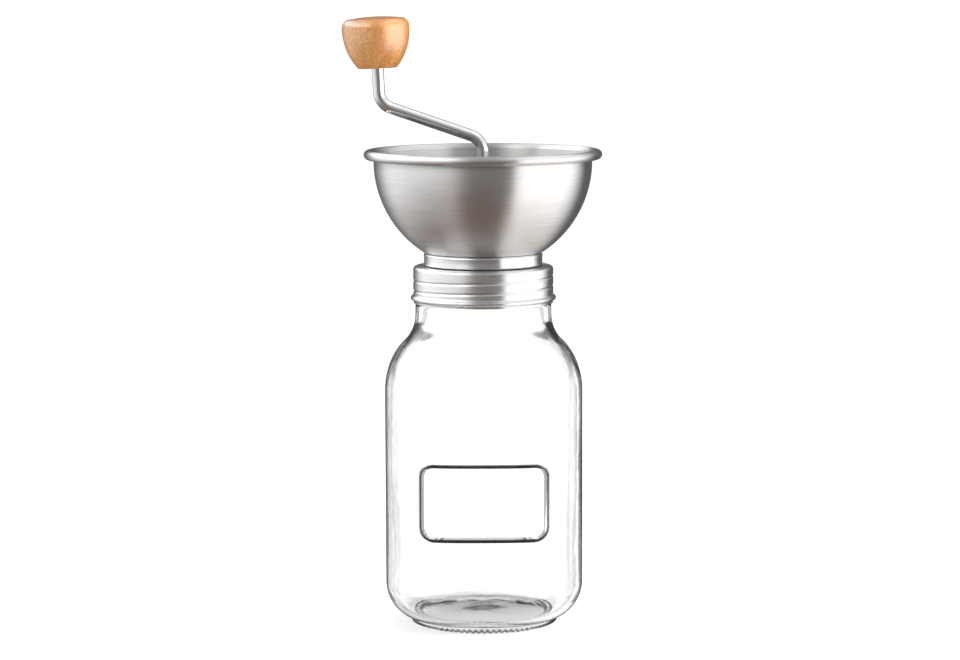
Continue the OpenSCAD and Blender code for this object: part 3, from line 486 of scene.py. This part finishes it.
def turned_steel(name, tint, dark, smooth, lines=1.0, ball=None):
    """Stainless steel with fine lines turned round its axis: bright and dull threads side by side.

    Noise is drawn out round the axis, slow in direction and quick in height and radius. lines is
    how strongly it shows, smooth the roughness of its brightest threads. ball, in metres, is the
    radius and middle height of a hollow ball whose inside is painted darker below a third height:
    painted shade in the hollow.
    """
    steel = Finish(name)
    here = steel.place()
    apart = steel.node("ShaderNodeSeparateXYZ", {}, {0: here})
    x, y, z = apart, apart.out("Y"), apart.out("Z")
    radius = (x * x + y * y + 1e-9) ** 0.5
    level = z + 0.7 * radius

    def thread_lines(around, across, detail):
        """One noise of lines, from its grain round the axis and across the lines."""
        where = steel.node("ShaderNodeCombineXYZ", {}, {
            0: x / radius * around, 1: y / radius * around, 2: level * across})
        return steel.noise(where, 1.0, detail, 0.6)

    fine, broad = thread_lines(2.2, 3800, 4), thread_lines(1.1, 620, 3)
    marks = steel.noise(here, 55, 3)
    sheen = (fine * 0.7 + broad * 0.3) * lines + (1 - lines) * 0.5
    colour = steel.mix(sheen.ramp(0.34, 0.64), dark, tint)
    colour = steel.mix(marks.ramp(0.55, 0.8) * 0.25, colour, [c * 0.86 for c in tint])
    # Painted shade: the inside of the hollow ball is coloured darker below a height.
    if ball:
        ball_r, ball_z, shade_z = ball
        high = z - ball_z
        away = (x * x + y * y + high * high) ** 0.5
        inside_shade = away.ramp(ball_r - 0.0001, ball_r + 0.0001, 1.0, 0.0)
        inside_shade = inside_shade * z.ramp(shade_z - 0.015, shade_z, 1.0, 0.0)
        colour = steel.mix(inside_shade, colour, [c * 0.35 for c in dark])
    return steel.surface(
        Base_Color=colour, Metallic=1.0, Anisotropic=1.0, Anisotropic_Rotation=0.25,
        Roughness=sheen * 0.16 + (smooth - 0.08) + marks.ramp(0.5, 0.8) * 0.05,
        Normal=steel.bump(fine * 0.8 + broad * 0.2, 0.000005 * lines))


def lid_profile():
    """Middle line of the lid's sheet, from the hole in its top over the edge to the curl."""
    edge_x, edge_z = LID_R - LID_EDGE_R, LID_TOP - LID_EDGE_R
    wall_z = np.linspace(edge_z - 0.2, LID_WALL_FOOT, 56)
    return np.vstack([
        straight(LID_HOLE_R, LID_TOP, edge_x, LID_TOP, 6),
        arc(edge_x, edge_z, LID_EDGE_R, 90, 0, 7)[1:],
        np.stack([np.full(len(wall_z), LID_R), wall_z], 1), LID_CURL])


lid_skin = turned(sheet_loop(lid_profile(), LID_SHEET), 300, rolled_thread)
lid_steel = turned_steel("lid_steel", (0.84, 0.84, 0.84), (0.72, 0.72, 0.725), smooth=0.27)
steel_lid = grid_piece("steel_lid", lid_skin, lid_steel, ring_rows=True)
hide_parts("screw_lid")
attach(steel_lid, "head")

# ---- Collar --------------------------------------------------------------------------------------
# A short ring of 0.8 mm stainless sheet between lid and bowl, turned in at its foot and its top so
# that both sit flat, on a thin black seal. The same three screws as the bowl's clamp it.

COLLAR_R, COLLAR_LOW, COLLAR_HIGH, COLLAR_SHEET = 29.9, 183.9, 189.6, 0.8
COLLAR_HOLE_R, COLLAR_FOOT_BEND, COLLAR_TOP_BEND = 27.8, 0.55, 1.1
COLLAR_HOLLOW = [[COLLAR_R - 0.14, 185.0], [COLLAR_R - 0.2, 186.6], [COLLAR_R - 0.14, 188.1]]


def collar_profile():
    """Middle line of the ring's sheet: foot turned in, hardly hollow wall, top turned in."""
    low = arc(COLLAR_R - 0.6, COLLAR_LOW + COLLAR_FOOT_BEND, COLLAR_FOOT_BEND, -90, 0, 5)
    high = arc(COLLAR_R - COLLAR_TOP_BEND, COLLAR_HIGH - COLLAR_TOP_BEND, COLLAR_TOP_BEND, 0, 90, 7)
    return np.vstack([[[COLLAR_HOLE_R, COLLAR_LOW]], low, COLLAR_HOLLOW, high,
                      [[COLLAR_HOLE_R, COLLAR_HIGH]]])


collar_skin = turned(sheet_loop(collar_profile(), COLLAR_SHEET), 220)
collar_steel = turned_steel("collar_steel", (0.86, 0.86, 0.86), (0.76, 0.76, 0.765),
                            smooth=0.2, lines=0.6)
steel_collar = grid_piece("steel_collar", collar_skin, collar_steel, ring_rows=True)
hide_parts("collar_ring")
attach(steel_collar, "head")
dress("collar_seal", soft_rubber("collar_seal_rubber", (0.02, 0.018, 0.017), (0.06, 0.055, 0.05)))

# ---- Hopper bowl ---------------------------------------------------------------------------------
# Spun from 0.8 mm stainless sheet over a ball-shaped former: flat floor with the hole of the mill,
# round wall, and a rim rolled outwards into a hollow bead. The tool leaves satin lines round it.

# The last is the height below which the bowl's inside is painted darker, as painted shade.
BOWL_SHEET, BOWL_MID_R, BALL_Z, BOWL_SHADE_Z = 0.8, 55.1, 236.611, 229.0
BOWL_HOLE_R, BOWL_FLOOR, BOWL_FLAT, BOWL_CORNER = 21.2, 190.4, 28.8, 4.0
ROLL_R, ROLL_X, ROLL_Z, ROLL_END = 2.0, 58.1, 239.711, -100


def bowl_profile():
    """Middle line of the bowl's sheet: hole, flat floor, corner, round wall and rolled rim."""
    corner_z = BOWL_FLOOR + BOWL_CORNER
    meet = math.degrees(math.atan2(corner_z - BALL_Z, BOWL_FLAT))
    return np.vstack([
        straight(BOWL_HOLE_R, BOWL_FLOOR, BOWL_FLAT - 0.4, BOWL_FLOOR, 6),
        arc(BOWL_FLAT, corner_z, BOWL_CORNER, -90, meet, 8),
        arc(0, BALL_Z, BOWL_MID_R, meet + 1.5, -3, 56),
        arc(ROLL_X - 0.6, ROLL_Z + 0.1, ROLL_R + 0.35, 183, 170, 3),
        arc(ROLL_X, ROLL_Z, ROLL_R, 160, ROLL_END, 26)])


bowl_skin = turned(sheet_loop(bowl_profile(), BOWL_SHEET), 300)
bowl_steel = turned_steel("bowl_steel", (0.80, 0.80, 0.80), (0.68, 0.68, 0.68), smooth=0.31,
                          ball=(BOWL_MID_R * MM, BALL_Z * MM, BOWL_SHADE_Z * MM))
steel_bowl = grid_piece("steel_bowl", bowl_skin, bowl_steel, ring_rows=True)
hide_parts("hopper_bowl")
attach(steel_bowl, "head")

# ---- Mill body and spider ------------------------------------------------------------------------
# Black glass-filled plastic, moulded in one piece each: the body that passes up through lid and
# collar, and the three-armed spider that clamps the bowl. The mould leaves a spark-eroded grain.


def black_moulding(name, colour=(0.022, 0.022, 0.024)):
    """Grained black plastic, a little greyer where handling has polished it."""
    plastic = Finish(name)
    grain = plastic.noise(plastic.place(), 1500, 3)
    worn = plastic.noise(plastic.place(), 70, 4)
    return plastic.surface(
        Base_Color=plastic.mix(worn.ramp(0.5, 0.8), colour, [c * 2.4 for c in colour]),
        Roughness=worn.ramp(0.3, 0.75, 0.5, 0.34) + grain * 0.08,
        Normal=plastic.bump(grain, 0.00006))


dress("burr_housing bearing_spider burr_carrier adjusting_nut", black_moulding("black_moulding"))

# ---- Bushes --------------------------------------------------------------------------------------
# Two flanged plain bearings of sintered bronze, pressed into the spider's hub from below and above.
# They are porous and oil-soaked, so dark specks run over a warm brown face.


def sintered_bronze():
    """Porous bronze: specks of oil in a warm metal."""
    bronze = Finish("bush_bronze")
    specks = bronze.noise(bronze.place(), 2600, 2)
    oil = bronze.noise(bronze.place(), 240, 3)
    return bronze.surface(
        Base_Color=bronze.mix(specks.ramp(0.42, 0.62), (0.17, 0.08, 0.03), (0.55, 0.34, 0.16)),
        Metallic=1.0, Roughness=oil.ramp(0.3, 0.7, 0.28, 0.5), Normal=bronze.bump(specks, 0.00005))


dress("upper_bush lower_bush", sintered_bronze())

# ---- Screws --------------------------------------------------------------------------------------
# Plated steel pan-head screws: three through the spider, bowl and collar into the mill body, three
# more up through the retaining ring. The plating is bright with fine drawing marks.


def plated_steel(name, colour, rough):
    """Bright plated steel with faint handling scratches."""
    plate = Finish(name)
    scratch = plate.noise(plate.place(scale=(1, 6, 1)), 900, 3)
    cloud = plate.noise(plate.place(), 160, 2)
    return plate.surface(
        Base_Color=plate.mix(cloud, colour, [c * 0.82 for c in colour]), Metallic=1.0,
        Roughness=rough + scratch.ramp(0.45, 0.75) * 0.14, Normal=plate.bump(scratch, 0.00002))


dress("clamp_screws ring_screws", plated_steel("screw_plating", (0.66, 0.66, 0.64), rough=0.22))

# ---- Burrs ---------------------------------------------------------------------------------------
# A toothed ring and a toothed cone of white technical ceramic, pressed, fired and left unglazed.
# Coffee stains the roots of the teeth. A black plastic ring holds the outer burr up in its seat.


def fired_ceramic():
    """Unglazed white ceramic with fine pits and a faint coffee stain."""
    ceramic = Finish("burr_ceramic")
    pits = ceramic.noise(ceramic.place(), 1400, 4)
    stain = ceramic.noise(ceramic.place(), 120, 4)
    colour = ceramic.mix(stain.ramp(0.5, 0.78) * 0.5, (0.80, 0.78, 0.74), (0.42, 0.29, 0.19))
    return ceramic.surface(Base_Color=colour, Roughness=0.38 + pits * 0.25,
                           Normal=ceramic.bump(pits, 0.00006))


dress("outer_burr inner_burr", fired_ceramic())
dress("retaining_ring", black_moulding("ring_moulding", (0.028, 0.027, 0.027)))

# ---- Drive shaft ---------------------------------------------------------------------------------
# Bright drawn stainless bar: round in the bushes, a hexagon above for the crank, flats and a thread
# below. It carries polished washers, a black spring clip and the spring that pushes the cone down.

shaft_steel = turned_steel("shaft_steel", (0.74, 0.74, 0.745), (0.58, 0.58, 0.585),
                           smooth=0.2, lines=0.8)
dress("drive_shaft", shaft_steel)
dress("thrust_washer spring_washer", plated_steel("washer_steel", (0.72, 0.72, 0.72), rough=0.18))
dress("shaft_clip knob_clip", plated_steel("clip_steel", (0.13, 0.125, 0.13), rough=0.32))
dress("burr_spring", plated_steel("spring_steel", (0.55, 0.55, 0.56), rough=0.2))

# ---- Crank ---------------------------------------------------------------------------------------
# One 6 mm stainless rod, bent cold twice and polished, welded into a turned socket that drops over
# the shaft's hexagon. The tumbling drum leaves it bright, with very fine marks along the rod.

ROD_R, BEND_R, ROD_FOOT_Z, ELBOW_Z = 3.0, 9.0, 216.35, 247.211
WRIST, POST_LEAN, POST_END = (-52.2, 265.311), 2.6, 33.6
# Each end's circles: how far from the end, and how much narrower than the rod.
ROD_ROUNDING = ((0, 0.45), (0.12, 0.12), (0.45, 0))


def bent_path(corners, bend, steps):
    """A path of straight runs whose corners are rounded by arcs of one radius, as (x, z) points."""
    corners = np.array(corners, float)
    path = [corners[0]]
    for before, corner, after in zip(corners, corners[1:], corners[2:]):
        into, away = corner - before, after - corner
        into, away = into / np.linalg.norm(into), away / np.linalg.norm(away)
        half = math.acos(np.clip(into @ away, -1, 1)) / 2
        start = corner - into * bend * math.tan(half)
        normal = np.array([-into[1], into[0]]) * np.sign(into[0] * away[1] - into[1] * away[0])
        angles = np.linspace(0, 2 * half, steps)[:, None]
        run = np.linspace(path[-1], start, 12)[1:-1]
        path += [*run, *(start + bend * (np.sin(angles) * into + (1 - np.cos(angles)) * normal))]
    return np.vstack([path, np.linspace(path[-1], corners[-1], 12)[1:]])


def rod(path, radius, columns):
    """A round bar along a path in the XZ plane: circles square to the path, with rounded ends."""
    along = np.gradient(path, axis=0)
    along /= np.linalg.norm(along, axis=1)[:, None]
    more = len(ROD_ROUNDING) - 1
    path, along = (np.pad(rows, ((more, more), (0, 0)), "edge") for rows in (path, along))
    radii = np.full(len(path), radius)
    for first, (inset, narrower) in enumerate(ROD_ROUNDING):
        last = -1 - first
        path[first] += inset * along[first]
        path[last] -= inset * along[last]
        radii[[first, last]] -= narrower
    turn = np.linspace(0, 2 * math.pi, columns, endpoint=False)[None, :, None]
    flat = np.zeros(len(path))
    side = np.stack([along[:, 1], flat, -along[:, 0]], 1)[:, None]
    centre = np.stack([path[:, 0], flat, path[:, 1]], 1)[:, None]
    front = np.array([0, -1.0, 0])
    return centre + radii[:, None, None] * (np.cos(turn) * side + np.sin(turn) * front)


def polished_rod():
    """Tumbled stainless rod: nearly a mirror, with faint marks, a film of handling, and painted
    shade at its edges.
    """
    steel = Finish("rod_steel")
    marks = steel.noise(steel.place(), 700, 4)
    film = steel.noise(steel.place(), 60, 3)
    colour = steel.mix(film.ramp(0.4, 0.75), (0.86, 0.86, 0.86), (0.74, 0.74, 0.745))
    # Painted shade: the colour turns near-black where the rod is seen edge-on.
    colour = steel.mix(steel.seen_edge_on(0.48, 0.82) * 0.92, colour, (0.06, 0.06, 0.063))
    return steel.surface(
        Base_Color=colour, Metallic=1.0, Normal=steel.bump(marks, 0.000015),
        Roughness=film.ramp(0.3, 0.75, 0.07, 0.15) + marks.ramp(0.55, 0.8) * 0.08)


lean = math.radians(POST_LEAN)
post_end = (WRIST[0] - math.sin(lean) * POST_END, WRIST[1] + math.cos(lean) * POST_END)
rod_path = bent_path([(0, ROD_FOOT_Z), (0, ELBOW_Z), WRIST, post_end], BEND_R, 18)
crank_rod = grid_piece("crank_rod", rod(rod_path, ROD_R, 40), polished_rod(), poles=(True, True))
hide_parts("crank_arm")
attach(crank_rod, "crank")
socket_steel = turned_steel("socket_steel", (0.76, 0.76, 0.765), (0.62, 0.62, 0.625),
                            smooth=0.18, lines=0.8)
dress("crank_socket", socket_steel)

# ---- Knob ----------------------------------------------------------------------------------------
# Turned beech under thin satin varnish: a pear shape with a flat foot and a hardly domed top. The
# grain runs along its axis, so its sides show short dark flecks. A plastic bush lines its bore.

KNOB_AT = (-53.0256, 0.0, 283.492)
KNOB_R, KNOB_H, KNOB_FOOT_R, KNOB_SIDE_R, KNOB_WAIST = 17.1, 26.0, 9.8, 30.5021, 19.8
KNOB_TOP_R, KNOB_EDGE_R, KNOB_CROWN_R, KNOB_DOME = 12.7, 4.4, 90.0, 0.9
BORE_R, BORE_H, BORE_FLANGE_R, BORE_FLANGE_H = 4.97, 17.5, 6.27, 1.0
BEECH_PALE, BEECH_DARK, BEECH_FLECK = (0.73, 0.30, 0.026), (0.57, 0.205, 0.014), (0.38, 0.12, 0.006)


def knob_profile():
    """The knob's outline from the top of its blind bore, out round the foot and up to the top."""
    bore = [[0.4, BORE_H], [BORE_R, BORE_H], [BORE_R, BORE_H - 0.3], [BORE_R, BORE_FLANGE_H],
            [BORE_FLANGE_R, BORE_FLANGE_H]]
    foot = [[BORE_FLANGE_R, 0.15], [BORE_FLANGE_R + 0.15, 0], [KNOB_FOOT_R - 0.35, 0],
            [KNOB_FOOT_R - 0.05, 0.12]]
    low = math.degrees(math.asin(KNOB_WAIST / KNOB_SIDE_R))
    side = arc(KNOB_R - KNOB_SIDE_R, KNOB_WAIST, KNOB_SIDE_R, -low + 0.6, 0, 26)
    edge = arc(KNOB_TOP_R, KNOB_H - KNOB_DOME - KNOB_EDGE_R, KNOB_EDGE_R, 0, 82, 16)
    crown = arc(0, KNOB_H - KNOB_CROWN_R, KNOB_CROWN_R, 82.5, 89.6, 10)
    return np.vstack([bore, foot, side, edge, crown])


def stand_on_post(points):
    """Leans points about Y by the post's angle and moves them onto the post."""
    c, s = math.cos(lean), math.sin(lean)
    x, y, z = points[..., 0], points[..., 1], points[..., 2]
    return np.stack([KNOB_AT[0] + x * c - z * s, y, KNOB_AT[2] + x * s + z * c], -1)


def beech():
    """Varnished beech: broad bands of growth, fine pores and dark flecks along the grain."""
    wood = Finish("beech")

    def along_grain(draw_out, size, detail, rough=0.55):
        """Noise on the knob's own leaning axis, drawn out along it."""
        centre = tuple(v * MM for v in KNOB_AT)
        return wood.noise(wood.place(centre, (0, -lean, 0), (1, 1, draw_out)), size, detail, rough)

    bands, pores = along_grain(0.16, 190, 3), along_grain(0.2, 3200, 2)
    flecks = along_grain(0.26, 2100, 2, 0.5)
    colour = wood.mix(bands.ramp(0.35, 0.68), BEECH_PALE, BEECH_DARK)
    colour = wood.mix(flecks.ramp(0.5, 0.6) * 0.9, colour, BEECH_FLECK)
    colour = wood.mix(pores.ramp(0.55, 0.7) * 0.1, colour, (0.72, 0.45, 0.24))
    return wood.surface(
        Base_Color=colour, Roughness=flecks.ramp(0.4, 0.7, 0.36, 0.52), Coat_Weight=1.0,
        Coat_Roughness=0.3, Coat_IOR=2.6, Normal=wood.bump(1 - flecks, 0.0004))


knob_skin = stand_on_post(turned(knob_profile(), 160))
beech_knob = grid_piece("beech_knob", knob_skin, beech(), poles=(True, True), crease=50)
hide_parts("knob")
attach(beech_knob, "knob")


def pale_plastic():
    """Ivory bearing plastic, slightly waxy."""
    plastic = Finish("bush_plastic")
    cloud = plastic.noise(plastic.place(), 200, 3)
    return plastic.surface(
        Base_Color=plastic.mix(cloud, (0.80, 0.77, 0.70), (0.70, 0.66, 0.58)),
        Roughness=cloud.ramp(0.3, 0.7, 0.3, 0.45), Normal=plastic.bump(cloud, 0.00004))


dress("knob_bush", pale_plastic())

# ---- Studio --------------------------------------------------------------------------------------
# A white table in a white room with one large soft lamp. Steel sees soft boxes left and right, a
# dim gap in front and warm ground below. Glass sees pale panels, grey gaps and a dark ceiling.

MIDDLE_R, NEAR_FLOOR_R, FAR_FLOOR_R = 0.2, 60.0, 14000.0
# Direction from the front in degrees, positive to the right, and brightness there.
SOFT_BOXES = (
    (-180, 0.14), (-158, 0.16), (-142, 0.4), (-126, 0.95), (-112, 1.12), (-90, 1.0), (-66, 0.82),
    (-44, 0.64), (-34, 0.5), (-27, 0.31), (-20, 0.25), (3, 0.2), (26, 0.2), (31, 0.3), (37, 1.3),
    (44, 2.0), (98, 2.0), (114, 1.4), (124, 0.7), (136, 0.12), (180, 0.14))
BRIGHTEST = 2.0
PANELS, PANEL, PANEL_GAP, DARK_CEILING = 8, 1.25, 0.42, 0.03
LAMP_AT, LAMP_TILT, LAMP_TURN, LAMP_POWER = (1.25, -0.45, 0.95), 60, 70, 30.0
EYE_AT, EYE_DOWN, EYE_ROLL, EYE_LENS = (-0.00176, -1.593, 0.33718), 6.702, -0.2, 117.84


def white_table():
    """Pale matt table top, lit from within a little so that it stays white round the object."""
    table = Finish("white_table")
    cloud = table.noise(table.place(), 6, 2)
    return table.surface(Base_Color=table.mix(cloud, 0.55, 0.52), Roughness=0.9,
                         Specular_IOR_Level=0.0, Emission_Color=(1, 1, 1, 1), Emission_Strength=0.7)


# Glass and shadows see only the near disc under the object: the far one would hide the room.
table_top = white_table()
for floor_name, inner, outer in (("floor_near", MIDDLE_R, NEAR_FLOOR_R),
                                 ("floor_far", NEAR_FLOOR_R, FAR_FLOOR_R)):
    disc_skin = turned(np.array([[outer, 0.0], [inner, 0.0]]), 96)
    is_near = floor_name == "floor_near"
    disc = grid_piece(floor_name, disc_skin, table_top, poles=(False, is_near), crease=0)
    disc.visible_glossy = False
    disc.visible_transmission = disc.visible_shadow = is_near

world = bpy.data.worlds.new("studio")
bpy.context.scene.world = world
room = Finish("studio", world)
direction = room.node("ShaderNodeTexCoord").out("Generated")
apart = room.node("ShaderNodeSeparateXYZ", {}, {0: direction})
east, north, up = apart, apart.out("Y"), apart.out("Z")
west, south, down = east * -1.0, north * -1.0, up * -1.0
round_room = east.math("ARCTAN2", east, south) / (2 * math.pi) + 0.5


def times(colour, light):
    """A colour of the room multiplied by a light."""
    return room.mix(1.0, colour, light, how="MULTIPLY")


# What steel sees: the soft boxes level with it, dimmer and browner low down, then the light room
# above and the ground below.
stops = [((a + 180) / 360, (v / BRIGHTEST,) * 3) for a, v in SOFT_BOXES]
boxes = times(room.node("ShaderNodeValToRGB", {"stops": stops}, {0: round_room}), BRIGHTEST)
lower = room.mix(east.ramp(-0.3, 0.3), (0.29, 0.265, 0.25), (0.58, 0.54, 0.51))
boxes = room.mix(down.ramp(0.25, 0.65), boxes, times(boxes, lower))
brown = down.ramp(0.45, 0.7) * (1 - east.ramp(0.1, 0.4)) * east.ramp(-0.75, -0.35)
boxes = room.mix(brown, boxes, times(boxes, (2.3, 1.42, 1.04)))
above = room.mix(north.ramp(-0.2, 0.6), 0.45, 0.2)
above = room.mix(east.ramp(0.25, 0.85), above, 1.0)
above = room.mix(west.ramp(0.15, 0.6), above, 2.9)
zenith = room.mix(east.math("ABSOLUTE", east).ramp(0.12, 0.42), 0.55, 1.3)
above = room.mix(up.ramp(0.5, 0.8), above, zenith)
below = room.mix(east.ramp(0.16, 0.36), (0.115, 0.06, 0.036), (0.62, 0.55, 0.48))
below = room.mix(west.ramp(0.4, 0.9), below, (0.34, 0.30, 0.27))
steel_sees = room.mix(up.ramp(0.12, 0.4), boxes, above)
steel_sees = room.mix((north * 0.3 - up).ramp(0.6, 0.9), steel_sees, below)

# What glass sees: panels round the room, whose gaps close steeply below, under the dark ceiling.
panel = round_room * PANELS + 0.5
off_middle = panel.math("ABSOLUTE", panel.math("FRACT", panel) - 0.5)
gap = off_middle.ramp(0.325, 0.37) * (1 - down.ramp(0.68, 0.9))
glass_sees = room.mix(up.ramp(0.08, 0.16), room.mix(gap, PANEL, PANEL_GAP), DARK_CEILING)

# Refracted rays count as glossy ones too, so the test for them comes last.
ray = room.node("ShaderNodeLightPath")
seen = room.mix(ray.out("Is Camera Ray"), room.mix(north.ramp(-0.3, 0.8), 0.82, 0.55), 1.1)
seen = room.mix(ray.out("Is Glossy Ray"), seen, steel_sees)
seen = room.mix(ray.out("Is Transmission Ray"), seen, glass_sees)
background = room.node("ShaderNodeBackground", {}, {"Color": seen, "Strength": 1.0})
room.node("ShaderNodeOutputWorld", {}, {"Surface": background})
world.cycles.sampling_method = "NONE"

lamp = bpy.data.lights.new("soft_lamp", "AREA")
lamp.shape, lamp.size, lamp.size_y, lamp.energy = "RECTANGLE", 0.6, 0.9, LAMP_POWER
lamp_stand = bpy.data.objects.new("soft_lamp", lamp)
lamp_stand.location = LAMP_AT
lamp_stand.rotation_euler = (math.radians(LAMP_TILT), 0, math.radians(LAMP_TURN))
lamp_stand.visible_glossy = False
bpy.context.scene.collection.objects.link(lamp_stand)

eye = bpy.data.cameras.new("camera")
eye.lens, eye.sensor_width, eye.clip_start, eye.clip_end = EYE_LENS, 36.0, 0.05, 60.0
camera = bpy.data.objects.new("camera", eye)
camera.matrix_world = (
    Matrix.Translation(EYE_AT) @ Matrix.Rotation(math.radians(90 - EYE_DOWN), 4, "X")
    @ Matrix.Rotation(math.radians(EYE_ROLL), 4, "Z"))
scene = bpy.context.scene
scene.collection.objects.link(camera)
scene.camera = camera
scene.view_settings.view_transform = "Standard"
scene.cycles.max_bounces = 24
scene.cycles.transmission_bounces = 20
scene.cycles.transparent_max_bounces = 16
